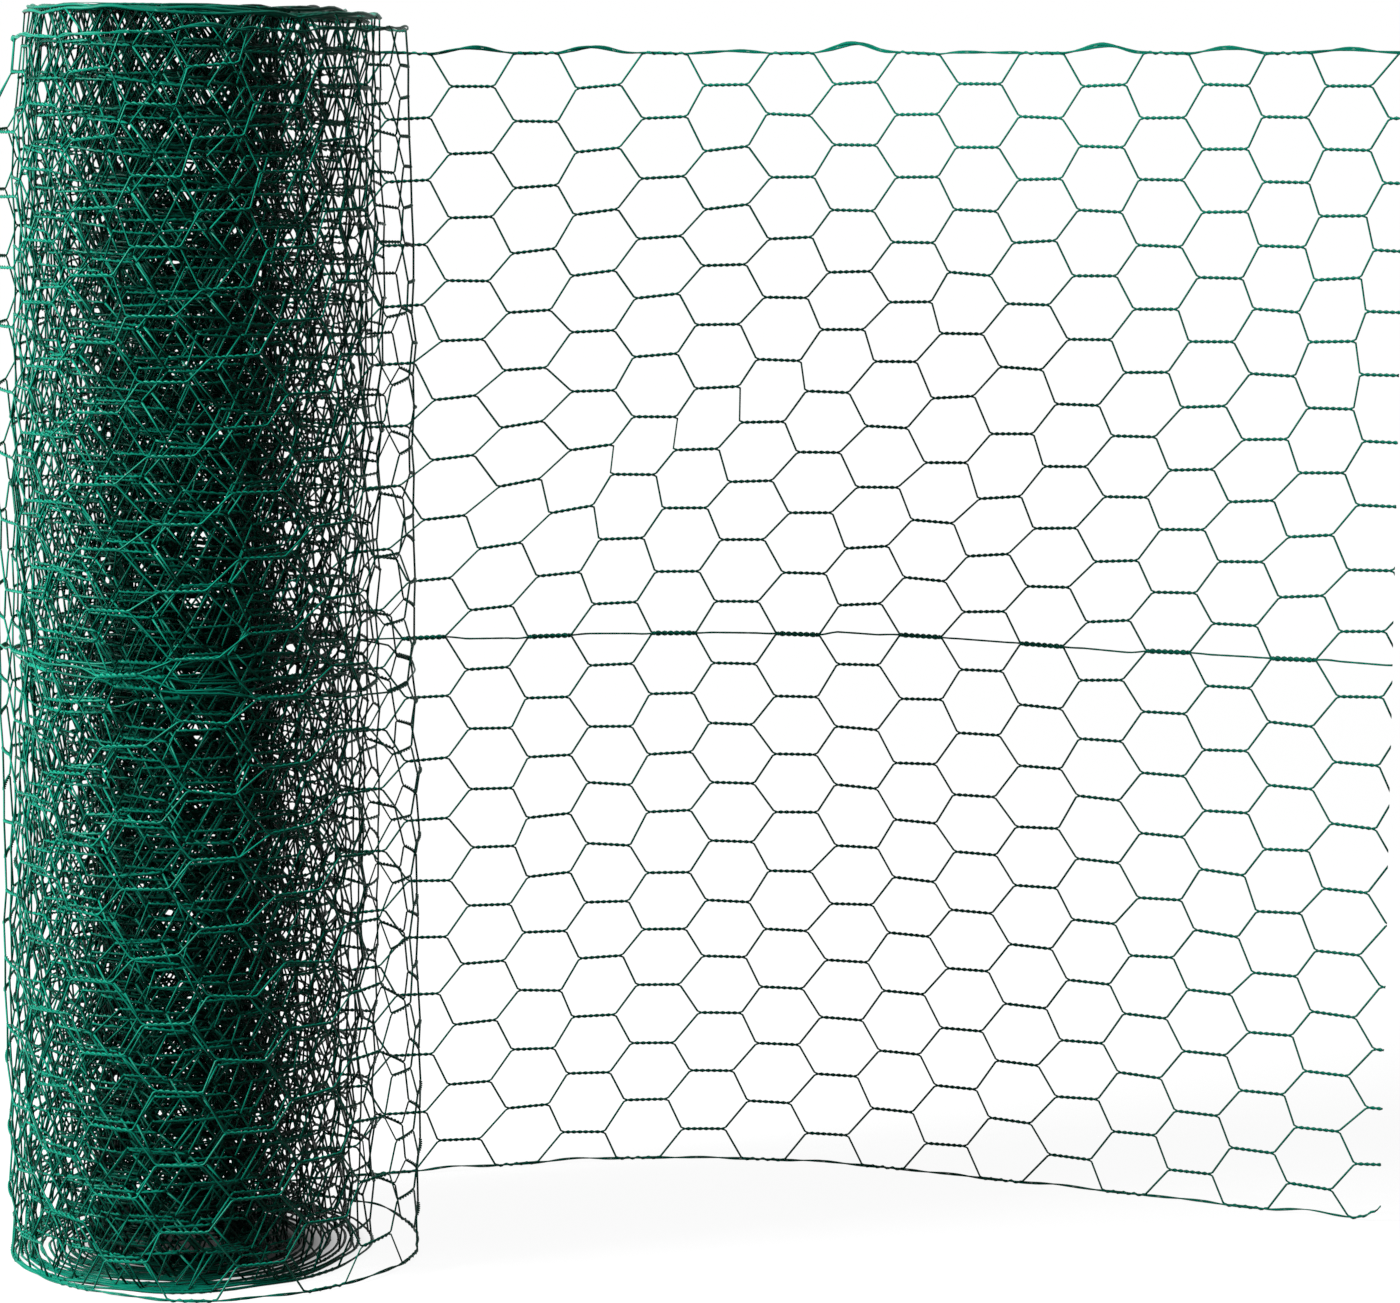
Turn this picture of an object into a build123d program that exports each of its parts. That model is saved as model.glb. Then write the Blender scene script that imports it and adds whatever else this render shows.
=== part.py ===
"""Roll of green coated hexagonal wire netting, standing on its end with a length drawn off it.

The netting is about 500 mm wide, with a 25 mm mesh: its wires run along the roll and are twisted
together in pairs, so every mesh is a hexagon whose two level sides are twisted pairs. A double
selvedge wire runs along each edge, and one straight line wire runs just below the middle.
Most of the length is still wound up. The outer end leaves the back of the roll along a tangent,
stands on its lower edge and bends gently forward to its cut end.

The frame: origin on the roll's axis at the floor, +Z up the roll, +X along the drawn-off length.
All sizes are in millimetres.
"""

import os
from math import atan, cos, radians, tan

from build123d import *

# The wires and the mesh
wire_d = 0.7  # one wire over its coating
selvedge_d = 1.4  # the doubled wire along each edge
line_wire_d = 1.0
mesh = 26.47  # across a mesh, from twist to twist
meshes_above_line = 9.5  # the two edges have their twists in different columns
meshes_below_line = 9
twist_length = 17.0  # one twisted side of a mesh
column_pitch = 27.9  # from one column of twists to the next, along the netting
columns_drawn_off = 20
cut_stub = 4.5  # what is left of the last twists at the cut end

# The roll, whose turns are wider than the netting that is drawn out
rim_rise = 9.605  # how much higher the loose outer turn stands than the drawn-off netting
crown_rise = 11.0  # how much higher again the innermost turns stand
roll_radius = 87.0  # over the loose outer turn
loose_turn = 3.0  # thickness of the outer turn
loose_gap = 8.0  # between the outer turn and the tight ones
loose_gap_depth = 6.0  # how far down that gap is open
bore_radius = 12.0
tight_crests = 4  # on each end, each standing for about seven turns
crest_depth = 4.0

# The route of the drawn-off length, seen from above
seat_clearance = 0.3  # between the roll and the first wires off it
leaving_angle = 106.0  # where on the roll it leaves, counted from +X
lap_length = 13.0  # how much of it lies on the roll, before that place
bend_columns = (7, 9, 11)  # the columns of twists at which it turns
bend_angle = 13.0  # at each of them

# Worked out from these
low_edge_z = selvedge_d / 2
line_z = low_edge_z + meshes_below_line * mesh
high_edge_z = line_z + meshes_above_line * mesh
rim_height = high_edge_z + rim_rise
slant = atan((column_pitch - twist_length) / (mesh / 2))  # of the single wires, off the vertical
widest = column_pitch - twist_length / 2 - wire_d / 2 / cos(slant)  # half of an opening
tight_radius = roll_radius - loose_turn - loose_gap
route_radius = roll_radius + seat_clearance + selvedge_d / 2


def along(heading, distance):
    """A level step in the direction of a heading, counted in degrees from +X."""
    return Vector(distance, 0, 0).rotate(Axis.Z, heading)


def route_corners():
    """The corners of the route and the heading of each stretch, from the roll to the cut end."""
    heading = leaving_angle - 90
    corners = [along(leaving_angle, route_radius) - along(heading, lap_length)]
    headings = []
    column = 0
    for bend_column in (*bend_columns, columns_drawn_off):
        corners.append(corners[-1] + along(heading, (bend_column - column) * column_pitch))
        headings.append(heading)
        heading -= bend_angle
        column = bend_column
    corners[-1] -= along(headings[-1], twist_length / 2 - cut_stub)
    return corners, headings


corners, headings = route_corners()
with BuildLine() as route:
    Polyline(*corners)
route_wire = route.wires()[0]


def end_profile():
    """The turns of one end from the bore outwards, as (radius, depth below the end)."""
    spacing = (tight_radius - bore_radius) / (tight_crests - 1)
    points = [(bore_radius, 0)]
    for crest in range(1, tight_crests):
        radius = bore_radius + crest * spacing
        points += [(radius - spacing / 2, crest_depth), (radius, 0)]
    outer_turn = roll_radius - loose_turn
    points.append((outer_turn - loose_gap / 2, loose_gap_depth))
    return points + [(outer_turn, 0), (roll_radius, 0)]


def crown(radius):
    """Height of the top end at a radius: level over the outer turn, highest at the bore."""
    share = max(0, (tight_radius - radius) / (tight_radius - bore_radius))
    return rim_height + crown_rise * share


def cut_openings(places, down, up):
    """Hexagonal openings at the given places, reaching so far below and above their middles."""
    right = [(widest - down * tan(slant), -down), (widest, 0), (widest - up * tan(slant), up)]
    left = [(-x, z) for x, z in reversed(right)]
    with Locations(*places):
        Polygon(*right, *left, align=None, mode=Mode.SUBTRACT)


def band_of_netting(first, last, low, low_d, high, high_d):
    """The netting between two long wires, from one column of twists to another."""
    length = (last - first) * column_pitch
    with Locations((length / 2, (low + low_d / 2 + high - high_d / 2) / 2)):
        Rectangle(length + 2 * wire_d, high - high_d / 2 - low - low_d / 2)
    # The openings' middles lie half a mesh apart, by turns in the odd and the even columns
    levels = round(2 * (high - low) / mesh)
    middles = [
        [
            ((n - first) * column_pitch, low + level * mesh / 2)
            for n in range(first, last + 1)
            if (n + level) % 2
        ]
        for level in range(levels + 1)
    ]
    reach = mesh / 2 - wire_d
    cut_openings(sum(middles[2:-2], []), reach, reach)
    # Half a mesh lies open against each long wire, and beside it the end twists lie along the wire
    cut_openings(middles[0], low_d, reach)
    cut_openings(middles[1], reach - low_d / 2, reach)
    cut_openings(middles[-2], reach, reach - high_d / 2)
    cut_openings(middles[-1], reach, high_d)


def stretch_of_netting(number):
    """One flat stretch of the drawn-off netting, mitred where it meets the next one."""
    edges = (0, *bend_columns, columns_drawn_off)
    first, last = edges[number], edges[number + 1]
    heading = headings[number]
    ahead = along(heading, 1)
    face = Plane(origin=corners[number], x_dir=ahead, z_dir=ahead.cross(Vector(0, 0, 1)))
    mitres = (bend_angle / 2 if first else 0, bend_angle / 2 if last < columns_drawn_off else 0)
    with BuildPart() as stretch:
        with BuildSketch(face.offset(-wire_d)):
            band_of_netting(first, last, low_edge_z, selvedge_d, line_z, line_wire_d)
            band_of_netting(first, last, line_z, line_wire_d, high_edge_z, selvedge_d)
        extrude(amount=2 * wire_d, clean=False)
        with BuildSketch():
            with BuildLine():
                near = along(heading + mitres[0] + 90, wire_d / 2 / cos(radians(mitres[0])))
                far = along(heading - mitres[1] + 90, wire_d / 2 / cos(radians(mitres[1])))
                start, end = corners[number], corners[number + 1]
                Polyline(start + near, end + far, end - far, start - near, close=True)
            make_face()
        extrude(amount=high_edge_z, mode=Mode.INTERSECT, clean=False)
    return stretch


def long_wire(height, diameter):
    """A wire that follows the whole route at one height, with flats for the netting to sit on."""
    start = corners[0] + Vector(0, 0, height)
    with BuildPart() as wire:
        with BuildSketch(Plane(origin=start, x_dir=(0, 0, 1), z_dir=along(headings[0], 1))):
            RegularPolygon(radius=diameter / 2, side_count=8, major_radius=False, rotation=22.5)
        sweep(path=route_wire.moved(Location((0, 0, height))), transition=Transition.RIGHT)
    return wire


# The wound turns, one turned solid with its bore and its turns showing on both ends
with BuildPart() as netting_roll:
    with BuildSketch(Plane.XZ):
        with BuildLine():
            top_end = [(radius, crown(radius) - depth) for radius, depth in end_profile()]
            Polyline(*end_profile(), *reversed(top_end), close=True)
        make_face()
    revolve(axis=Axis.Z)

netting_by_roll = stretch_of_netting(0)
netting_first_bend = stretch_of_netting(1)
netting_second_bend = stretch_of_netting(2)
netting_to_cut_end = stretch_of_netting(3)
bottom_selvedge_wire = long_wire(low_edge_z, selvedge_d)
centre_line_wire = long_wire(line_z, line_wire_d)
top_selvedge_wire = long_wire(high_edge_z, selvedge_d)

netting_roll.part.label = "netting_roll"
netting_by_roll.part.label = "netting_by_roll"
netting_first_bend.part.label = "netting_first_bend"
netting_second_bend.part.label = "netting_second_bend"
netting_to_cut_end.part.label = "netting_to_cut_end"
bottom_selvedge_wire.part.label = "bottom_selvedge_wire"
centre_line_wire.part.label = "centre_line_wire"
top_selvedge_wire.part.label = "top_selvedge_wire"

os.makedirs("parts", exist_ok=True)
export_step(netting_roll.part, "parts/netting_roll.step")
export_step(netting_by_roll.part, "parts/netting_by_roll.step")
export_step(netting_first_bend.part, "parts/netting_first_bend.step")
export_step(netting_second_bend.part, "parts/netting_second_bend.step")
export_step(netting_to_cut_end.part, "parts/netting_to_cut_end.step")
export_step(bottom_selvedge_wire.part, "parts/bottom_selvedge_wire.step")
export_step(centre_line_wire.part, "parts/centre_line_wire.step")
export_step(top_selvedge_wire.part, "parts/top_selvedge_wire.step")
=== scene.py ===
"""Roll of green coated hexagonal wire netting, standing on its end with a length drawn off it.

The netting is modelled once, flat: one twist of two wires with the two single wires that leave it,
copied into columns. Each piece of it is then wound onto the roll or laid along the drawn-off
length. Lengths are in metres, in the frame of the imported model: origin on the roll's axis at the
floor, +Z up the roll, +X along the drawn-off length.
"""

from math import atan2, cos, pi, radians, sin, sqrt

import bmesh
import bpy
import numpy as np
from bpy.props import FloatProperty, FloatVectorProperty, IntProperty, PointerProperty
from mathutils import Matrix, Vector


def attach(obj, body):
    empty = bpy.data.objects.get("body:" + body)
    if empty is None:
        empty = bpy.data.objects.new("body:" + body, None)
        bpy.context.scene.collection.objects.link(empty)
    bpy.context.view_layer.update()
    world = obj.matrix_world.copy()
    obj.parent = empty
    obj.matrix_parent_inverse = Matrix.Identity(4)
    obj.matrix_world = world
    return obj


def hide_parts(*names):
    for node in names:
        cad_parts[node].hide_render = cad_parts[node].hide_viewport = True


bl_info = {
    "name": "Hexagonal netting roll",
    "version": (1, 0, 0),
    "blender": (4, 5, 0),
    "location": "3D View > Sidebar > Netting",
    "description": "Builds the wires, the coating and the studio of a roll of hexagonal netting",
    "category": "Object",
}

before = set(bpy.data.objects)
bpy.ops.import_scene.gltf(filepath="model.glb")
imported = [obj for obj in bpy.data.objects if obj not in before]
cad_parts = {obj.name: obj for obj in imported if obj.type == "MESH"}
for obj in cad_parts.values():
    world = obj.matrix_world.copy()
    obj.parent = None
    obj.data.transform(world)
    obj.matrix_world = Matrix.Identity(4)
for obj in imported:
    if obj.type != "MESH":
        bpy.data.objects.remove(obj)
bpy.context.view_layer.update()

MM = 0.001
SHEET_NODES = (
    "netting_by_roll",
    "netting_first_bend",
    "netting_second_bend",
    "netting_to_cut_end",
)

# The netting starts to be drawn off this long after a column of twists that still lies on the roll
FIRST_COLUMN_AT = -13.0 * MM

# Where on the roll the netting leaves it, and the radius of its turns seen from above
LEAVING_ANGLE = radians(106)
TURN_RADII = (  # (turns inwards from where the netting leaves, radius in millimetres)
    (0.0, 88.0),
    (0.1, 86.0),
    (0.2, 83.7),
    (0.45, 84.1),
    (0.7, 85.0),
    (0.85, 83.0),
    (1.0, 77.0),
    (1.2, 69.0),
    (1.45, 73.5),
    (1.7, 77.0),
    (1.95, 72.5),
    (2.2, 67.5),
    (2.7, 74.5),
    (3.2, 66.0),
    (3.7, 72.0),
    (4.2, 64.5),
    (4.7, 69.0),
    (5.2, 63.0),
    (5.7, 66.0),
    (6.2, 61.5),
    (6.7, 63.0),
    (9.5, 53.0),
    (16.5, 37.5),
    (42.0, 12.5),
)

STEPS_A_TURN = 360
SMOOTHED_OVER = 61  # of those steps, so that the turns have no corners
LONGEST_DRAWN_OFF = 600 * MM

# The netting takes up the roll's shape within this share of a turn after it meets the roll
MEETING_TURN = 0.15

# Turns inside the first radius are tight, and those outside the second hang loose round them
TIGHT_WITHIN = 74 * MM
LOOSE_BEYOND = 84 * MM

# The turns share their dents, which are those of one cylinder, but for this drift in every turn
DENTED_RADIUS = 80 * MM
DENT_DRIFT = 4 * MM

# How high the rim of the wound turns stands: the loose outer turn is lower than the tight ones
RIM_HEIGHTS = (  # (radius, height of the upper edge wire), in millimetres
    (0, 508.0),
    (55, 508.0),
    (76, 506.5),
    (80, 504.0),
    (84, 499.5),
    (90, 498.0),
)

# The rim is drawn in this far down, where it reaches this far to the left
DRAWN_IN_DOWN = 26 * MM
DRAWN_IN_LEFT = 80 * MM

# Every wire stays between these heights, and levels out over these lengths as it nears them
HIGHEST, HIGHEST_SOFTNESS = 510.2 * MM, 0.8 * MM
LOWEST, LOWEST_SOFTNESS = 0.2 * MM, 0.15 * MM

# The drawn-off length bends gently between these distances along it
BEND_FROM = 154.0 * MM
BEND_TO = 322.0 * MM
BEND = radians(39)

# Handling has moved the twists further on the roll: all of them this far along it, and the ones
# nearer to the drawn-off netting less
WOUND_WITHIN = 150 * MM

# A long wire holds what is this near to it, and rows this near to an edge stray less
WIRE_GRIP = 4 * MM
EDGE_STRIP = 20 * MM

# The free corner curls up over this length of the edge wire, and this high
CURL_LENGTH = 13 * MM
CURL_HEIGHT = 6 * MM

# The slanting line along which the meshes have slipped: one place on it and its slope, how far
# along they slipped most, how far from there they did, and how sharp the line is
CREASE_PLACE = (126.5 * MM, 284 * MM)
CREASE_SLOPE = 0.465
CREASE_MIDDLE = 195 * MM
CREASE_REACH = (85 * MM, 55 * MM)
CREASE_WIDTH = 6 * MM

# Each way in which the netting is uneven, with the length of its waves and its seed
WAVES = {
    "tilt": (60 * MM, 11),
    "rise": (75 * MM, 12),
    "drift": (330 * MM, 13),
    "shift": (75 * MM, 14),
    "slip": (260 * MM, 15),
    "top arch": (90 * MM, 16),
    "buckle": (70 * MM, 17),
    "low arch": (90 * MM, 18),
    "dent": (160 * MM, 21),
    "bulge": (110 * MM, 22),
    "rim": (260 * MM, 23),
}

# How far handling has moved the meshes, read off the photograph
COLUMN_LEAN = (  # (height, how far the columns have moved along there), in millimetres
    (0, -6),
    (15, -4),
    (40, -1),
    (95, 4.5),
    (145, 7.5),
    (240, 9),
    (280, 13),
    (330, 21.5),
    (385, 30),
    (435, 33.5),
    (490, 34),
)
SIDEWAYS_PUSHES = (  # (middle along, middle up, reach along, reach up, push), in millimetres
    (154, 304, 60, 55, 8),
    (545, 375, 50, 50, -12),
    (515, 450, 85, 65, -8),
    (530, 60, 70, 110, -4),
    (110, 130, 70, 110, 5),
)
UPWARD_PUSHES = (  # in the same order
    (530, 110, 55, 110, -5.5),
    (290, 165, 90, 50, -2),
    (160, 180, 70, 110, -2.2),
    (175, 335, 45, 60, 3.5),
    (120, 400, 45, 75, -5.5),
    (370, 310, 80, 55, -3),
)
TILTS = (  # (middle along, middle up, reach along, reach up, tilt), in millimetres and degrees
    (480, 120, 150, 140, -1),
    (125, 300, 45, 50, 9),
    (430, 285, 170, 60, 3.5),
    (170, 420, 60, 50, 7),
)


def linear(hex_colour):
    """An sRGB hex colour as linear red, green, blue and alpha."""
    channels = [int(hex_colour[i : i + 2], 16) / 255 for i in (1, 3, 5)]
    return [c / 12.92 if c <= 0.04045 else ((c + 0.055) / 1.055) ** 2.4 for c in channels] + [1]


def length(name, description, value):
    """A size in millimetres as a property in metres."""
    return FloatProperty(name=name, description=description, default=value * MM, unit="LENGTH")


def colour(name, description, hex_colour):
    """A colour as a property."""
    return FloatVectorProperty(
        name=name, description=description, default=linear(hex_colour), size=4, subtype="COLOR"
    )


class NettingSizes(bpy.types.PropertyGroup):
    """Sizes of the netting as it is woven."""

    mesh: length("Mesh", "Width of a mesh, from twist to twist", 26.47)
    half_meshes: IntProperty(
        name="Half meshes", description="Number of half meshes between the edge wires", default=37
    )
    line_row: IntProperty(
        name="Line row", description="Meshes between the lower edge and the line wire", default=9
    )
    twist: length("Twist", "Length of the twisted side of a mesh", 18.6)
    column: length("Column", "From one column of twists to the next", 27.9)
    wire: length("Wire", "Thickness of one coated wire", 0.8)
    outer_wire: length("Outer turn's wire", "Thickness of one wire of the outer turn", 0.76)
    inner_wire: length("Inner turns' wire", "Thickness of one wire further in", 0.8)
    core_wire: length("Core's wire", "Thickness of one wire of the innermost turns", 0.9)
    bend: length("Bend", "Radius at which a wire leaves its twist", 0.9)
    line_wire: length("Line wire", "Thickness of the straight wire below the middle", 0.8)
    edge_wire: length("Edge wire", "Thickness of each of the two wires of an edge", 0.66)
    line_opening: length("Line opening", "How far the line wire opens the twists on it", 0.35)
    edge_opening: length("Edge opening", "How far an edge wire opens the twists on it", 0.12)
    inner_edge: length("Inner edge", "Thickness of an edge inside the outer turn", 1.15)
    edge_height: length("Edge height", "Middle of the lower edge wire above the floor", 1.1)
    cut_at: length("Cut", "Length of netting that is drawn off", 539.8)


class HandlingSizes(bpy.types.PropertyGroup):
    """How uneven the netting has become."""

    crease: length("Crease", "How far the meshes have slipped along their slanting line", 4.0)
    wander: length("Wander", "How far the twists stray", 0.7)
    tilt: FloatProperty(
        name="Tilt", description="How far the twists tilt", default=radians(2.5), unit="ROTATION"
    )
    buckle: length("Buckle", "How far the netting bulges to either side", 0.5)
    turn_drift: length("Turn drift", "How far the rows differ in height from turn to turn", 8.0)
    turn_slip: length("Turn slip", "How far the columns stray on the wound turns", 6.0)
    dent: length("Dent", "How far the wound turns are out of round", 0.5)
    top_arch: length("Top arch", "Rise of the upper edge wire between twists", 2.2)
    low_arch: length("Low arch", "Rise of the lower edge wire between twists", 0.6)
    corner_curl: length("Corner curl", "Rise of the lower edge wire at the cut", 6.0)
    core_offset: length("Core offset", "How far the tight turns lie to one side at the top", 3.0)
    core_lean: length("Core lean", "How much further they lie to that side at the floor", 12.0)
    drawn_in: length("Drawn in", "How far the upper rim is drawn in at the left", 11.0)
    rim_waves: length("Rim waves", "How far the upper rim strays up and down", 1.2)
    rim_slope: FloatProperty(
        name="Rim slope", description="Slope of the tight turns' upper ends", default=0.035
    )


class FinishSettings(bpy.types.PropertyGroup):
    """Colours of the coating, and the painted shade of its innermost turns."""

    deep: colour("Deep", "The coating where it is thick", "#054A3D")
    bright: colour("Bright", "The coating where it is thin", "#098A70")
    # Painted shade: the share of the coating's colour that is left at the roll's axis, where the
    # colour is darkened
    core: FloatProperty(
        name="Core", description="Share of the colour left in the innermost turns", default=0.2
    )
    roughness: FloatProperty(name="Roughness", description="Of the coating", default=0.34)
    gloss: FloatProperty(name="Gloss", description="Strength of its reflections", default=0.06)


class StudioSettings(bpy.types.PropertyGroup):
    """Lamps, floor and camera."""

    key_power: FloatProperty(name="Key", description="Lamp at the left", default=66, unit="POWER")
    fill_power: FloatProperty(name="Fill", description="Lamp in front", default=0.5, unit="POWER")
    ambient: FloatProperty(name="Ambient", description="Light from all sides", default=0.012)
    floor: colour("Floor", "Paint of the floor", "#5A5A5A")
    lens: FloatProperty(name="Lens", description="Focal length in millimetres", default=109.4)
    pitch: FloatProperty(
        name="Pitch", description="How far the camera looks down", default=radians(7.95),
        unit="ROTATION",
    )


def deselect():
    """Leaves nothing selected, so that an operator acts on the next piece alone."""
    for obj in bpy.context.selected_objects:
        obj.select_set(False)


def work_on(obj):
    """Selects one object and makes it the active one."""
    deselect()
    obj.select_set(True)
    bpy.context.view_layer.objects.active = obj
    return obj


def modified(obj, kind, **settings):
    """Adds a modifier with its settings and applies it."""
    work_on(obj)
    modifier = obj.modifiers.new(kind, kind)
    for name, value in settings.items():
        setattr(modifier, name, value)
    bpy.ops.object.modifier_apply(modifier=modifier.name)
    return obj


def placed_copy(obj, along, up, turned=False):
    """A copy set down at another place of the flat netting, if asked with its upper side down."""
    twin = obj.copy()
    twin.data = obj.data.copy()
    bpy.context.scene.collection.objects.link(twin)
    work_on(twin)
    twin.location = (along, 0, up)
    twin.rotation_euler = (pi if turned else 0, 0, 0)
    bpy.ops.object.transform_apply(location=True, rotation=True, scale=True)
    return twin


def turned_over(obj):
    """A copy turned half round its own length, so that what was up is down."""
    return placed_copy(obj, 0, 0, turned=True)


def joined(parts, name):
    """One object made of several."""
    work_on(parts[0])
    for part in parts[1:]:
        part.select_set(True)
    if len(parts) > 1:
        bpy.ops.object.join()
    parts[0].name = name
    parts[0].data.name = name
    return parts[0]


def removed(*parts):
    """Deletes what was only needed to make something else."""
    for part in parts:
        bpy.data.objects.remove(part)


def vertices_of(obj):
    """The places of an object's vertices, one row each."""
    places = np.empty(len(obj.data.vertices) * 3, np.float32)
    obj.data.vertices.foreach_get("co", places)
    return places.reshape(-1, 3).astype(float)


def set_vertices(obj, places):
    """Moves an object's vertices."""
    obj.data.vertices.foreach_set("co", places.astype(np.float32).ravel())
    obj.data.update()


def ring_radius(radius, sides):
    """Radius of a many-sided ring that looks as wide, on average, as a round wire."""
    return radius / (sides / pi * sin(pi / sides))


def ring(sides, radius, along, up):
    """An open ring of wire, square to the length of the netting."""
    deselect()
    bpy.ops.mesh.primitive_circle_add(
        vertices=sides,
        radius=ring_radius(radius, sides),
        location=(along, 0, up),
        rotation=(0, pi / 2, 0),
    )
    obj = bpy.context.object
    bpy.ops.object.transform_apply(location=True, rotation=True, scale=True)
    return obj


def screwed(obj, turns, advance, steps):
    """Carries a ring on along the netting while it turns round the middle line."""
    return modified(
        obj,
        "SCREW",
        axis="X",
        angle=turns * 2 * pi,
        screw_offset=advance,
        steps=steps,
        render_steps=steps,
        iterations=1,
    )


def twisted_wire(sides, steps, turns, wire, winding, advance):
    """One wire wound round the middle line of a twist, which it starts above."""
    return screwed(ring(sides, wire / 2, -advance / 2, winding), turns, advance, steps)


def select_right_end(obj):
    """Selects the last ring of a wire, in edit mode."""
    bpy.ops.mesh.select_all(action="DESELECT")
    mesh = bmesh.from_edit_mesh(obj.data)
    end = max(v.co.x for v in mesh.verts)
    for vert in mesh.verts:
        vert.select = vert.co.x > end - 0.001 * MM
    mesh.select_flush(True)
    bmesh.update_edit_mesh(obj.data)


def add_slant(obj, size, side):
    """Carries a wire on from its twist to the next one, a column on and half a mesh up or down."""
    winding = size.wire / 2
    along = size.column - size.twist
    across = size.mesh / 2 - 2 * winding
    straight = sqrt(along**2 + (across - 2 * size.bend) ** 2 - (2 * size.bend) ** 2)
    angle = atan2(across - 2 * size.bend, along) + atan2(2 * size.bend, straight)
    outwards = Vector((sin(angle), 0, -side * cos(angle))) * size.bend
    step = Vector((cos(angle), 0, side * sin(angle))) * straight
    work_on(obj)
    bpy.ops.object.mode_set(mode="EDIT")
    bpy.ops.mesh.select_mode(type="VERT")
    select_right_end(obj)
    centre = Vector((size.twist / 2, 0, side * (winding + size.bend)))
    bpy.ops.mesh.spin(steps=1, angle=side * angle, center=centre, axis=(0, 1, 0))
    bpy.ops.mesh.extrude_edges_move(TRANSFORM_OT_translate={"value": step})
    centre += 2 * outwards + step
    bpy.ops.mesh.spin(steps=1, angle=-side * angle, center=centre, axis=(0, 1, 0))
    bpy.ops.object.mode_set(mode="OBJECT")
    return obj


def full_twist(size, wire):
    """Two wires twisted together, each with the single wire that leaves it on the right."""
    # After its last half turn the wire that starts above ends below
    lower = twisted_wire(
        sides=4, steps=21, turns=3.5, wire=wire, winding=size.wire / 2, advance=size.twist
    )
    add_slant(lower, size, side=-1)
    return joined([lower, turned_over(lower)], "twist")


def edge_twist(size, wire):
    """The last wire of the netting, wound on the edge wire and going back up."""
    obj = twisted_wire(
        sides=4, steps=20, turns=4, wire=wire, winding=size.wire / 2, advance=size.twist
    )
    return add_slant(obj, size, side=1)


def slant_rod(size, wire):
    """One straight single wire from the right end of a twist down to the next twist."""
    run = Vector((size.column - size.twist, 0, -size.mesh / 2))
    deselect()
    bpy.ops.mesh.primitive_cylinder_add(
        vertices=3,
        radius=ring_radius(wire / 2, 3),
        depth=run.length,
        location=Vector((size.twist / 2, 0, 0)) + run / 2,
        rotation=(0, atan2(run.x, run.z), 0),
    )
    rod = bpy.context.object
    bpy.ops.object.transform_apply(location=True, rotation=True, scale=True)
    return rod


def bar_twist(size, wire, steps, turns, at_edge):
    """A plain twist for the turns deep in the roll: a flat bar, twisted, with rods for slants."""
    # As wide as two wires side by side, less what their round shape leaves open
    bar = work_on(ring(4, wire / 2, -size.twist / 2, 0))
    bar.scale = (1, 1, 1.8)
    bpy.ops.object.transform_apply(location=True, rotation=True, scale=True)
    screwed(bar, turns, size.twist, steps)
    rod = slant_rod(size, wire)
    rising = turned_over(rod)
    if at_edge:
        removed(rod)
        return joined([bar, rising], "bar_edge_twist")
    return joined([bar, rod, rising], "bar_twist")


def swollen(obj, size, push):
    """A copy of a twist opened out by the long wire down its middle, and knotted at its ends."""
    twin = placed_copy(obj, 0, 0)
    places = vertices_of(twin)
    from_end = size.twist / 2 - np.abs(places[:, 0])
    opens_over, knot_at, knot_size = 1.2 * MM, 1.4 * MM, 0.6
    inside = np.clip(from_end / opens_over, 0, 1)
    inside += knot_size * np.exp(-(((from_end - knot_at) / MM) ** 2))
    radius = np.hypot(places[:, 1], places[:, 2])
    factor = 1 + push * inside * (from_end > 0) / np.maximum(radius, 0.001 * MM)
    places[:, 1] *= factor
    places[:, 2] *= factor
    set_vertices(twin, places)
    return twin


def repeated(obj, count, along, up):
    """A row of copies, joined where they meet."""
    return modified(
        obj,
        "ARRAY",
        count=count,
        use_relative_offset=False,
        use_constant_offset=True,
        constant_offset_displace=(along, 0, up),
    )


def width_of(size):
    """From the lower edge wire to the upper one."""
    return size.half_meshes * size.mesh / 2


def line_height(size):
    """From the lower edge wire to the line wire."""
    return size.line_row * size.mesh


def flat_netting(name, size, twist, edge, pairs):
    """Flat netting of so many pairs of columns: the first has a twist on the lower edge wire and
    on the line wire, the second is half a mesh off and has one on the upper edge wire."""
    rows = size.half_meshes // 2
    line = swollen(twist, size, size.line_opening)
    low = swollen(edge, size, size.edge_opening)
    parts = [
        placed_copy(low, 0, 0),
        repeated(placed_copy(twist, 0, size.mesh), size.line_row - 1, 0, size.mesh),
        placed_copy(line, 0, line_height(size)),
        repeated(
            placed_copy(twist, 0, (size.line_row + 1) * size.mesh),
            rows - size.line_row,
            0,
            size.mesh,
        ),
        repeated(placed_copy(twist, size.column, size.mesh / 2), rows, 0, size.mesh),
        placed_copy(low, size.column, width_of(size), turned=True),
    ]
    removed(line, low)
    return repeated(joined(parts, name), pairs, 2 * size.column, 0)


def closed(obj):
    """Merges the wires where their rings meet and closes the ends that stay open."""
    work_on(obj)
    bpy.ops.object.mode_set(mode="EDIT")
    bpy.ops.mesh.select_all(action="SELECT")
    bpy.ops.mesh.remove_doubles(threshold=0.01 * MM)
    bpy.ops.mesh.select_all(action="DESELECT")
    bpy.ops.mesh.select_non_manifold(extend=False)
    bpy.ops.mesh.edge_face_add()
    bpy.ops.mesh.select_all(action="SELECT")
    bpy.ops.mesh.normals_make_consistent(inside=False)
    bpy.ops.object.mode_set(mode="OBJECT")
    bpy.ops.object.shade_smooth()
    return obj


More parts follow.
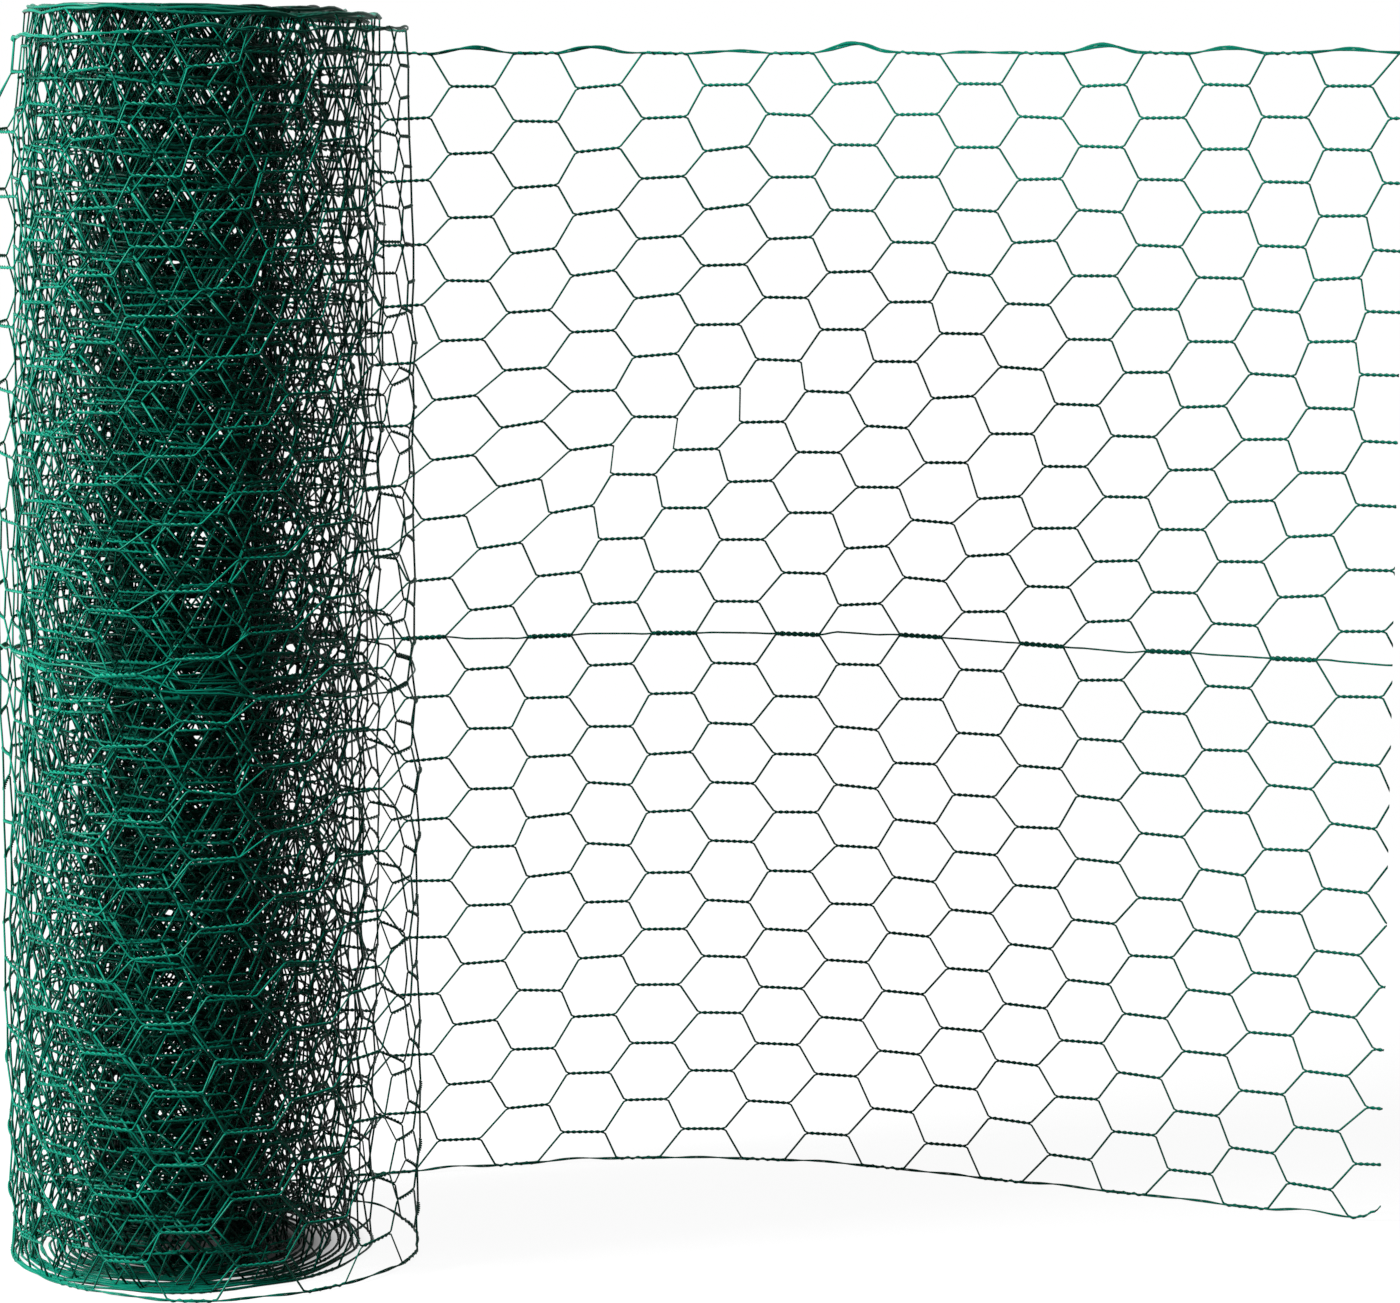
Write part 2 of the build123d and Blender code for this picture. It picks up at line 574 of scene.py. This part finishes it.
def cut_off(obj, at):
    """Cuts the netting where it was cut from the roll."""
    work_on(obj)
    bpy.ops.object.mode_set(mode="EDIT")
    bpy.ops.mesh.select_all(action="SELECT")
    bpy.ops.mesh.bisect(plane_co=(at, 0, 0), plane_no=(1, 0, 0), clear_outer=True, use_fill=True)
    bpy.ops.object.mode_set(mode="OBJECT")
    return obj


def ripple(first, second, kind):
    """A value that wanders smoothly over two lengths, about -1 to 1, once or so per wave."""
    wavelength, seed = WAVES[kind]
    rng = np.random.default_rng(seed)
    total = np.zeros(np.shape(first))
    waves = zip(rng.uniform(0, 2 * pi, 9), rng.uniform(0, 2 * pi, 9), rng.uniform(0.7, 1.5, 9))
    for direction, phase, stretch in waves:
        turn = 2 * pi / (wavelength * stretch)
        total += np.sin(turn * (first * cos(direction) + second * sin(direction)) + phase)
    return total / 3


def pushed(along, up, pushes):
    """The sum of pushes that are each strongest at one place of the netting and fade away."""
    total = np.zeros(np.shape(along))
    for middle_along, middle_up, reach_along, reach_up, push in pushes:
        away = (along / MM - middle_along) / reach_along
        above = (up / MM - middle_up) / reach_up
        total += push * np.exp(-(away**2) - above**2)
    return total


def creased(along, up):
    """One above and minus one below the slanting line along which the meshes have slipped."""
    above = up - CREASE_PLACE[1] - CREASE_SLOPE * (along - CREASE_PLACE[0])
    away = (along - CREASE_MIDDLE) / CREASE_REACH[0]
    return np.tanh(above / CREASE_WIDTH) * np.exp(-((above / CREASE_REACH[1]) ** 2) - away**2)


def lever(along, pitch, half):
    """How far a place is from the middle of its twist, worked off again before the next twist."""
    off = (along + pitch / 2) % pitch - pitch / 2
    slack = np.sign(off) * (pitch / 2 - np.abs(off)) * half / (pitch / 2 - half)
    return np.where(np.abs(off) < half, off, slack)


def arch(along, size, kind):
    """How far an edge wire has sprung up between the twists on it, from 0 to 1 or so."""
    gap = np.abs((along + size.column) % (2 * size.column) - size.column) - size.twist / 2
    share = np.clip(gap / (size.column - size.twist / 2), 0, 1)
    return np.sin(pi / 2 * share) ** 2 * (1 + 0.7 * ripple(along, 0 * along, kind))


def nearest_twist(flat, up, size):
    """The middle of the twist that a vertex of the netting belongs to."""
    column = np.round(flat / size.column)
    lowest = column % 2 * size.mesh / 2
    return column * size.column, lowest + np.round((up - lowest) / size.mesh) * size.mesh


def held_by(up, size):
    """How firmly the lower edge wire, the line wire and the upper edge wire hold what is there."""
    low = np.exp(-up / WIRE_GRIP)
    line = np.exp(-(((up - line_height(size)) / WIRE_GRIP) ** 2))
    top = np.exp(-(width_of(size) - up) / WIRE_GRIP)
    return low, line, top


def strayed(held, up, wound, size, wear):
    """How far the twists have moved along the netting and upwards."""
    # Rows and columns stray, more so on the turns that are still wound up
    width = width_of(size)
    wander = wear.wander * (1 + 0.7 * wound)
    shift = wander * ripple(held, up, "shift") + wound * wear.turn_slip * ripple(held, up, "slip")
    from_edge = np.clip(np.minimum(up, width - up) / EDGE_STRIP, 0, 1)
    rise = from_edge * wander * ripple(held, up, "rise")
    bow = np.sin(pi * np.clip(up / width, 0, 1))
    rise += wound * bow * wear.turn_drift * ripple(held, up / 2, "drift")
    # The columns lean, and where the netting was held it is pushed out of shape
    heights, leans = np.array(COLUMN_LEAN).T * MM
    shift += np.interp(up, heights, leans) + pushed(held, up, SIDEWAYS_PUSHES) * MM
    rise += from_edge * pushed(held, up, UPWARD_PUSHES) * MM
    shift += wear.crease * creased(held, up)
    return shift, rise


def tilted(flat, middle, held, up, wound, size, wear):
    """How far things rise because each twist tilts about its own middle."""
    low, line, top = held_by(up, size)
    arm = (flat - middle) * (1 - low - line - top)
    arm += lever(flat, 2 * size.column, size.twist / 2) * line
    arm += lever(flat - size.column, 2 * size.column, size.twist / 2) * top
    tilt = wear.tilt * (1 + 0.6 * wound) * ripple(held, up, "tilt")
    return (tilt + np.radians(pushed(held, up, TILTS))) * arm


def sprung(flat, up, wound, size, wear):
    """How far the edge wires arch up between the twists that are wound on them."""
    low, _, top = held_by(up, size)
    rise = wear.low_arch * arch(flat, size, "low arch") * low
    top_rise = wear.top_arch * arch(flat - size.column, size, "top arch") * top
    return rise + top_rise * (1 - 0.5 * wound)


def handled(places, first_column, size, wear, long_wires=False):
    """What handling did to the netting: uneven, tilted and leaning meshes, still laid flat.

    A twist is stiff, so that what is twisted or leaves it moves as its middle does. Only the long
    wires give way between the twists.
    """
    flat, out, height = places.T
    start = FIRST_COLUMN_AT + first_column * size.column
    if long_wires:
        middle, up = flat - lever(flat, size.column, size.twist / 2), height
    else:
        middle, up = nearest_twist(flat, height, size)
    held = middle + start
    wound = np.clip(-held / WOUND_WITHIN, 0, 1)
    shift, rise = strayed(held, up, wound, size, wear)
    along = flat + start + shift
    rise += tilted(flat, middle, held, up, wound, size, wear)
    rise += sprung(flat, up, wound, size, wear)
    curl = np.clip((along - size.cut_at) / CURL_LENGTH + 1, 0, 1) ** 2
    rise += wear.corner_curl * curl * np.exp(-up / CURL_HEIGHT)
    out = out + wear.buckle * ripple(held, up, "buckle")
    return np.column_stack((along, out, height + rise))


def route():
    """The netting's way seen from above: distance along it, place, and turns into the roll."""
    turns, radii = np.array(TURN_RADII).T
    turn = np.arange(0, turns[-1], 1 / STEPS_A_TURN)
    window = np.hanning(SMOOTHED_OVER)
    padded = np.pad(np.interp(turn, turns, radii * MM), SMOOTHED_OVER // 2, mode="edge")
    radius = np.convolve(padded, window / window.sum(), mode="valid")
    angle = LEAVING_ANGLE + 2 * pi * turn
    wound = np.column_stack((radius * np.cos(angle), radius * np.sin(angle)))
    wound_along = -np.concatenate(([0], np.cumsum(np.hypot(*np.diff(wound, axis=0).T))))
    drawn_along = np.arange(0, LONGEST_DRAWN_OFF, MM)
    bent = np.clip((drawn_along - BEND_FROM) / (BEND_TO - BEND_FROM), 0, 1)
    heading = LEAVING_ANGLE - pi / 2 - BEND * bent
    steps = np.column_stack((np.cos(heading), np.sin(heading))) * MM
    drawn = wound[0] + np.cumsum(steps, axis=0)
    along = np.concatenate((wound_along[::-1], drawn_along[1:]))
    place = np.vstack((wound[::-1], drawn[:-1]))
    inwards = np.concatenate((turn[::-1], 0 * drawn_along[1:]))
    return along, place, inwards


ROUTE = route()


def held_above(value, limit, softness):
    """A value that levels out before it falls below a limit."""
    return value + softness * np.log1p(np.exp((limit - value) / softness))


def laid(places, size, wear):
    """Carries handled flat netting to its place on the roll or along the drawn-off length."""
    along, out, up = places.T
    distance, way, inwards = ROUTE
    ahead = np.gradient(way, distance, axis=0)
    ahead /= np.linalg.norm(ahead, axis=1)[:, None]
    at_x, at_y = (np.interp(along, distance, way[:, axis]) for axis in (0, 1))
    ahead_x, ahead_y = (np.interp(along, distance, ahead[:, axis]) for axis in (0, 1))
    turn = np.interp(along, distance, inwards)
    wound = np.clip(turn / MEETING_TURN, 0, 1)
    radius = np.hypot(at_x, at_y)
    # The wound turns are out of round, and much the same way from turn to turn
    around_x, around_y = at_x * DENTED_RADIUS / radius, at_y * DENTED_RADIUS / radius
    dents = ripple(around_x + turn * DENT_DRIFT, around_y + up, "dent")
    out = out + wound * wear.dent * (dents + 0.8 * ripple(along, up, "bulge"))
    # The tight turns lean inside the loose one and stand higher
    width = width_of(size)
    inside = np.clip((LOOSE_BEYOND - radius) / (LOOSE_BEYOND - TIGHT_WITHIN), 0, 1)
    lean = (wear.core_offset + wear.core_lean * (1 - up / width)) * inside
    x = at_x - ahead_y * out - lean
    y = at_y + ahead_x * out
    radii, heights = np.array(RIM_HEIGHTS).T * MM
    top = np.interp(radius, radii, heights) + wear.rim_waves * ripple(along, 0 * along, "rim")
    top -= wear.rim_slope * x * inside
    height = width + wound * (top - size.edge_height - width)
    z = size.edge_height + up * height / width
    # At the left the upper rim is drawn in, the loose turn's most, and stands lower for it
    leftmost = np.clip(-x / DRAWN_IN_LEFT, 0, 1) ** 2
    bent = wear.drawn_in * np.exp(-(((top - z) / DRAWN_IN_DOWN) ** 2)) * leftmost * wound
    x += bent * (1 - 0.55 * inside)
    z -= 0.2 * bent
    # Nothing stands higher than the roll does, or lower than the floor
    z = -held_above(-z, -HIGHEST, HIGHEST_SOFTNESS)
    z = held_above(z, LOWEST, LOWEST_SOFTNESS)
    return np.column_stack((x, y, z))


def add_node(tree, kind, links=(), **settings):
    """Adds a node, sets its inputs and properties, and links sockets to its inputs."""
    node = tree.nodes.new(kind)
    for name, value in settings.items():
        setattr(node, name, value)
    for socket, source in links:
        if isinstance(source, bpy.types.NodeSocket):
            tree.links.new(source, node.inputs[socket])
        else:
            node.inputs[socket].default_value = source
    return node


def by_distance(tree, between, results):
    """A value that goes smoothly from one result to the other as a place lies farther from the
    roll's axis, between two distances."""
    place = add_node(tree, "ShaderNodeTexCoord").outputs["Object"]
    level = add_node(
        tree, "ShaderNodeVectorMath", [(0, place), (1, (1, 1, 0))], operation="MULTIPLY"
    )
    away = add_node(tree, "ShaderNodeVectorMath", [(0, level.outputs[0])], operation="LENGTH")
    ends = zip(("From Min", "From Max", "To Min", "To Max"), (*between, *results))
    eased = add_node(
        tree,
        "ShaderNodeMapRange",
        [("Value", away.outputs["Value"]), *ends],
        interpolation_type="SMOOTHSTEP",
    )
    return eased.outputs["Result"]


def coated_wire():
    """Green PVC extruded onto thin steel wire: glossy, a little uneven in thickness and shade.

    The coating is darkened towards the roll's axis. This painted shade stands in for the shade
    that the turns cast on each other, so that the deep turns look nearly black.
    """
    known = bpy.data.materials.get("extruded_green_pvc")
    if known:
        return known
    finish = bpy.context.scene.netting_finish
    material = bpy.data.materials.new("extruded_green_pvc")
    material.use_nodes = True
    tree = material.node_tree
    shader = tree.nodes["Principled BSDF"]
    place = add_node(tree, "ShaderNodeTexCoord").outputs["Object"]
    shade = add_node(
        tree,
        "ShaderNodeTexNoise",
        [("Vector", place), ("Scale", 1 / (14 * MM)), ("Detail", 3.0)],
    )
    mix = add_node(
        tree,
        "ShaderNodeMix",
        [("Factor", shade.outputs["Fac"]), (6, finish.deep), (7, finish.bright)],
        data_type="RGBA",
    )
    # Painted shade: the colour is scaled down towards the roll's axis, to a set share inside 45 mm
    painted_shade = by_distance(tree, (45 * MM, 82 * MM), (finish.core, 1.0))
    colour_with_painted_shade = add_node(
        tree, "ShaderNodeVectorMath", [(0, mix.outputs[2]), ("Scale", painted_shade)], operation="SCALE"
    )
    tree.links.new(colour_with_painted_shade.outputs[0], shader.inputs["Base Color"])
    # The coating's skin is faintly pimpled, which breaks its highlights into specks. The pimples
    # are drawn as large as the wire is thick, because real ones would be too fine to show
    grain = add_node(
        tree,
        "ShaderNodeTexNoise",
        [("Vector", place), ("Scale", 1 / (0.8 * MM)), ("Detail", 2.0)],
    )
    bump = add_node(
        tree,
        "ShaderNodeBump",
        [("Height", grain.outputs["Fac"]), ("Strength", 0.25), ("Distance", 0.05 * MM)],
    )
    tree.links.new(bump.outputs["Normal"], shader.inputs["Normal"])
    # On so thin a wire the highlights are weak
    shader.inputs["Roughness"].default_value = finish.roughness
    shader.inputs["Specular IOR Level"].default_value = finish.gloss
    return material


def finished(obj, *nodes):
    """Gives a piece its material, sets it under the roll's root, and hides the imported parts that
    it stands for.
    """
    obj.data.materials.clear()
    obj.data.materials.append(coated_wire())
    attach(obj, "root")
    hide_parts(*nodes)
    return obj


def shaped(obj, first_column, cut=False, long_wires=False):
    """Handles a flat piece, cuts it if it reaches past the cut, and lays it in its place."""
    size, wear = bpy.context.scene.netting_sizes, bpy.context.scene.netting_handling
    set_vertices(obj, handled(vertices_of(obj), first_column, size, wear, long_wires))
    if cut:
        cut_off(obj, size.cut_at)
    set_vertices(obj, laid(vertices_of(obj), size, wear))
    return obj


def make_netting(name, twist, edge, pairs, first_column, *nodes, cut=False):
    """Makes a piece of netting of so many pairs of columns, handled, in its place and finished."""
    size = bpy.context.scene.netting_sizes
    obj = closed(flat_netting(name, size, twist, edge, pairs))
    finished(shaped(obj, first_column, cut=cut), *nodes)
    removed(twist, edge)


def long_strands(strand, reach, heights, paired=False):
    """Copies of a long wire at so many heights, or at each two that are wound round each other."""
    parts = []
    for up in heights:
        parts.append(placed_copy(strand, reach / 2, up))
        if paired:
            parts.append(placed_copy(strand, reach / 2, up, turned=True))
    removed(strand)
    return parts


# How many pairs of columns each piece has, and the column at which each begins, counted from the
# last one that lies on the roll
DRAWN_OFF_PAIRS = 11
OUTER_TURN_PAIRS = 10
LOOSE_PAIRS = 42
TIGHT_PAIRS = 57
OUTER_TURN_START = -2 * OUTER_TURN_PAIRS
LOOSE_START = OUTER_TURN_START - 2 * LOOSE_PAIRS
TIGHT_START = LOOSE_START - 2 * TIGHT_PAIRS
CORE_START = TIGHT_START - 2 * TIGHT_PAIRS

# How far a wire that isn't wound round another lies off its middle line
STRAIGHT = 0.01 * MM


class NETTING_OT_drawn_off(bpy.types.Operator):
    """Builds the netting that has been drawn off the roll"""

    bl_idname = "netting.drawn_off"
    bl_label = "Drawn-off netting"

    def execute(self, context):
        size = context.scene.netting_sizes
        twist, edge = full_twist(size, size.wire), edge_twist(size, size.wire)
        make_netting(
            "drawn_off_netting", twist, edge, DRAWN_OFF_PAIRS, 0, *SHEET_NODES, cut=True
        )
        return {"FINISHED"}


class NETTING_OT_outer_turn(bpy.types.Operator):
    """Builds the loose outer turn of the roll"""

    bl_idname = "netting.outer_turn"
    bl_label = "Outer turn"

    def execute(self, context):
        size = context.scene.netting_sizes
        twist, edge = full_twist(size, size.outer_wire), edge_twist(size, size.outer_wire)
        make_netting(
            "outer_turn_netting", twist, edge, OUTER_TURN_PAIRS, OUTER_TURN_START, "netting_roll"
        )
        return {"FINISHED"}


class NETTING_OT_inner_turns(bpy.types.Operator):
    """Builds the turns inside the outer one, with plainer twists the deeper they lie"""

    bl_idname = "netting.inner_turns"
    bl_label = "Inner turns"

    def execute(self, context):
        size = context.scene.netting_sizes
        for name, first_column, pairs, wire, steps, turns in (
            ("loose_turns_netting", LOOSE_START, LOOSE_PAIRS, size.inner_wire, 10, 2.5),
            ("tight_turns_netting", TIGHT_START, TIGHT_PAIRS, size.inner_wire, 4, 1),
            ("core_turns_netting", CORE_START, TIGHT_PAIRS, size.core_wire, 4, 1),
        ):
            twist = bar_twist(size, wire, steps, turns, at_edge=False)
            edge = bar_twist(size, wire, steps, turns, at_edge=True)
            make_netting(name, twist, edge, pairs, first_column, "netting_roll")
        return {"FINISHED"}


class NETTING_OT_drawn_off_wires(bpy.types.Operator):
    """Builds the edge wires and the line wire of the drawn-off netting"""

    bl_idname = "netting.drawn_off_wires"
    bl_label = "Drawn-off long wires"

    def execute(self, context):
        size = context.scene.netting_sizes
        reach = size.cut_at + 40 * MM
        for name, node, up, wire, paired in (
            ("bottom_selvedge", "bottom_selvedge_wire", 0, size.edge_wire, True),
            ("centre_line", "centre_line_wire", line_height(size), size.line_wire, False),
            ("top_selvedge", "top_selvedge_wire", width_of(size), size.edge_wire, True),
        ):
            winding = wire / 2 if paired else STRAIGHT
            strand = twisted_wire(6, 300, 15, wire, winding, reach)
            obj = closed(joined(long_strands(strand, reach, [up], paired), name))
            finished(shaped(obj, 0, cut=True, long_wires=True), node)
        return {"FINISHED"}


class NETTING_OT_wound_wires(bpy.types.Operator):
    """Builds the edge wires and the line wire of the wound turns"""

    bl_idname = "netting.wound_wires"
    bl_label = "Wound long wires"

    def execute(self, context):
        size = context.scene.netting_sizes
        edges, line = (0, width_of(size)), (line_height(size),)
        # The outer turn has its edges as pairs of wires, and those further in have them as one
        outer = -OUTER_TURN_START * size.column
        strand = twisted_wire(6, 300, 0, size.line_wire, STRAIGHT, outer)
        parts = long_strands(strand, outer, line)
        strand = twisted_wire(6, 300, 16, size.edge_wire, size.edge_wire / 2, outer)
        parts += long_strands(strand, outer, edges, paired=True)
        obj = closed(joined(parts, "outer_turn_edge_wires"))
        finished(shaped(obj, OUTER_TURN_START, long_wires=True), "netting_roll")
        inner = -CORE_START * size.column - outer
        strand = twisted_wire(4, 1800, 0, size.inner_edge, STRAIGHT, inner)
        parts = long_strands(strand, inner, edges)
        strand = twisted_wire(4, 1800, 0, size.line_wire, STRAIGHT, inner)
        parts += long_strands(strand, inner, line)
        obj = closed(joined(parts, "wound_edge_wires"))
        finished(shaped(obj, CORE_START, long_wires=True), "netting_roll")
        return {"FINISHED"}


# Where the lamps and the camera stand, and the place that the lamps shine at
KEY_PLACE, KEY_SIZE = (-1.2, -0.42, 0.92), 0.4
FILL_PLACE, FILL_SIZE = (0.9, -1.9, 1.1), 1.5
LAMPS_AIM = Vector((0.05, 0, 0.25))
CAMERA_PLACE = (0.2009, -1.7189, 0.489)


def white_where_seen(tree):
    """One for the rays that should meet plain white, and nothing for the light on the object."""
    rays = add_node(tree, "ShaderNodeLightPath").outputs
    mirrored = add_node(
        tree,
        "ShaderNodeMath",
        [(0, rays["Is Glossy Ray"]), (1, rays["Is Transmission Ray"])],
        operation="MAXIMUM",
    )
    seen = add_node(
        tree,
        "ShaderNodeMath",
        [(0, rays["Is Camera Ray"]), (1, mirrored.outputs[0])],
        operation="MAXIMUM",
    )
    return seen.outputs[0]


def studio_floor(studio):
    """Matt studio paper with a painted shadow under the roll, where its glow is cut out, and
    fading into the background far off, but for a faint shadow."""
    material = bpy.data.materials.new("studio_floor")
    material.use_nodes = True
    tree = material.node_tree
    tree.nodes.remove(tree.nodes["Principled BSDF"])
    # Painted shadow: the glow is cut out under the roll, darkest near its axis
    painted_shadow_under_roll = by_distance(tree, (30 * MM, 68 * MM), (0.02, 0.95))
    far_off = by_distance(tree, (500 * MM, 3000 * MM), (0.0, 0.05))
    strength = add_node(tree, "ShaderNodeMath", [(0, painted_shadow_under_roll), (1, far_off)], operation="ADD")
    paint = add_node(tree, "ShaderNodeBsdfDiffuse", [("Color", studio.floor)])
    glow = add_node(tree, "ShaderNodeEmission", [("Strength", strength.outputs[0])])
    white = add_node(tree, "ShaderNodeAddShader", [(0, paint.outputs[0]), (1, glow.outputs[0])])
    surface = add_node(
        tree,
        "ShaderNodeMixShader",
        [(0, white_where_seen(tree)), (1, paint.outputs[0]), (2, white.outputs[0])],
    )
    tree.links.new(surface.outputs[0], tree.nodes["Material Output"].inputs["Surface"])
    return material


class NETTING_OT_studio(bpy.types.Operator):
    """Builds the white floor, the lamps and the camera"""

    bl_idname = "netting.studio"
    bl_label = "Studio"

    def execute(self, context):
        scene = context.scene
        studio = scene.netting_studio
        deselect()
        bpy.ops.mesh.primitive_plane_add(size=40)
        floor = context.object
        floor.name = "floor"
        floor.data.materials.append(studio_floor(studio))
        scene.world = bpy.data.worlds.new("studio")
        scene.world.use_nodes = True
        tree = scene.world.node_tree
        strength = add_node(
            tree,
            "ShaderNodeMapRange",
            [("Value", white_where_seen(tree)), ("To Min", studio.ambient), ("To Max", 1.0)],
        )
        tree.links.new(strength.outputs["Result"], tree.nodes["Background"].inputs["Strength"])
        tree.nodes["Background"].inputs["Color"].default_value = (1, 1, 1, 1)
        for name, place, size, power in (
            ("key", KEY_PLACE, KEY_SIZE, studio.key_power),
            ("fill", FILL_PLACE, FILL_SIZE, studio.fill_power),
        ):
            light = bpy.data.lights.new(name, "AREA")
            light.size = size
            light.energy = power
            lamp = bpy.data.objects.new(name, light)
            lamp.location = place
            aim = LAMPS_AIM - lamp.location
            lamp.rotation_euler = aim.to_track_quat("-Z", "Y").to_euler()
            scene.collection.objects.link(lamp)
        camera = bpy.data.cameras.new("camera")
        camera.sensor_width = 36
        camera.lens = studio.lens
        view = bpy.data.objects.new("camera", camera)
        view.location = CAMERA_PLACE
        view.rotation_euler = (pi / 2 - studio.pitch, 0, 0)
        scene.collection.objects.link(view)
        scene.camera = view
        scene.view_settings.view_transform = "Standard"
        return {"FINISHED"}


GROUPS = {
    "netting_sizes": NettingSizes,
    "netting_handling": HandlingSizes,
    "netting_finish": FinishSettings,
    "netting_studio": StudioSettings,
}
OPERATORS = (
    NETTING_OT_drawn_off,
    NETTING_OT_outer_turn,
    NETTING_OT_inner_turns,
    NETTING_OT_drawn_off_wires,
    NETTING_OT_wound_wires,
    NETTING_OT_studio,
)


class NETTING_PT_roll(bpy.types.Panel):
    """Sizes and colours of the roll, and a button for each of its pieces"""

    bl_label = "Netting roll"
    bl_space_type = "VIEW_3D"
    bl_region_type = "UI"
    bl_category = "Netting"

    def draw(self, context):
        for group, kind in GROUPS.items():
            box = self.layout.box()
            for name in kind.__annotations__:
                box.prop(getattr(context.scene, group), name)
        for operator in OPERATORS:
            self.layout.operator(operator.bl_idname)


def register():
    for kind in (*GROUPS.values(), *OPERATORS, NETTING_PT_roll):
        bpy.utils.register_class(kind)
    for name, kind in GROUPS.items():
        setattr(bpy.types.Scene, name, PointerProperty(type=kind))


def unregister():
    for name in GROUPS:
        delattr(bpy.types.Scene, name)
    for kind in (NETTING_PT_roll, *reversed(OPERATORS), *reversed(GROUPS.values())):
        bpy.utils.unregister_class(kind)


def main():
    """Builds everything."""
    register()
    bpy.ops.netting.drawn_off()
    bpy.ops.netting.outer_turn()
    bpy.ops.netting.inner_turns()
    bpy.ops.netting.drawn_off_wires()
    bpy.ops.netting.wound_wires()
    bpy.ops.netting.studio()


if __name__ == "__main__":
    main()
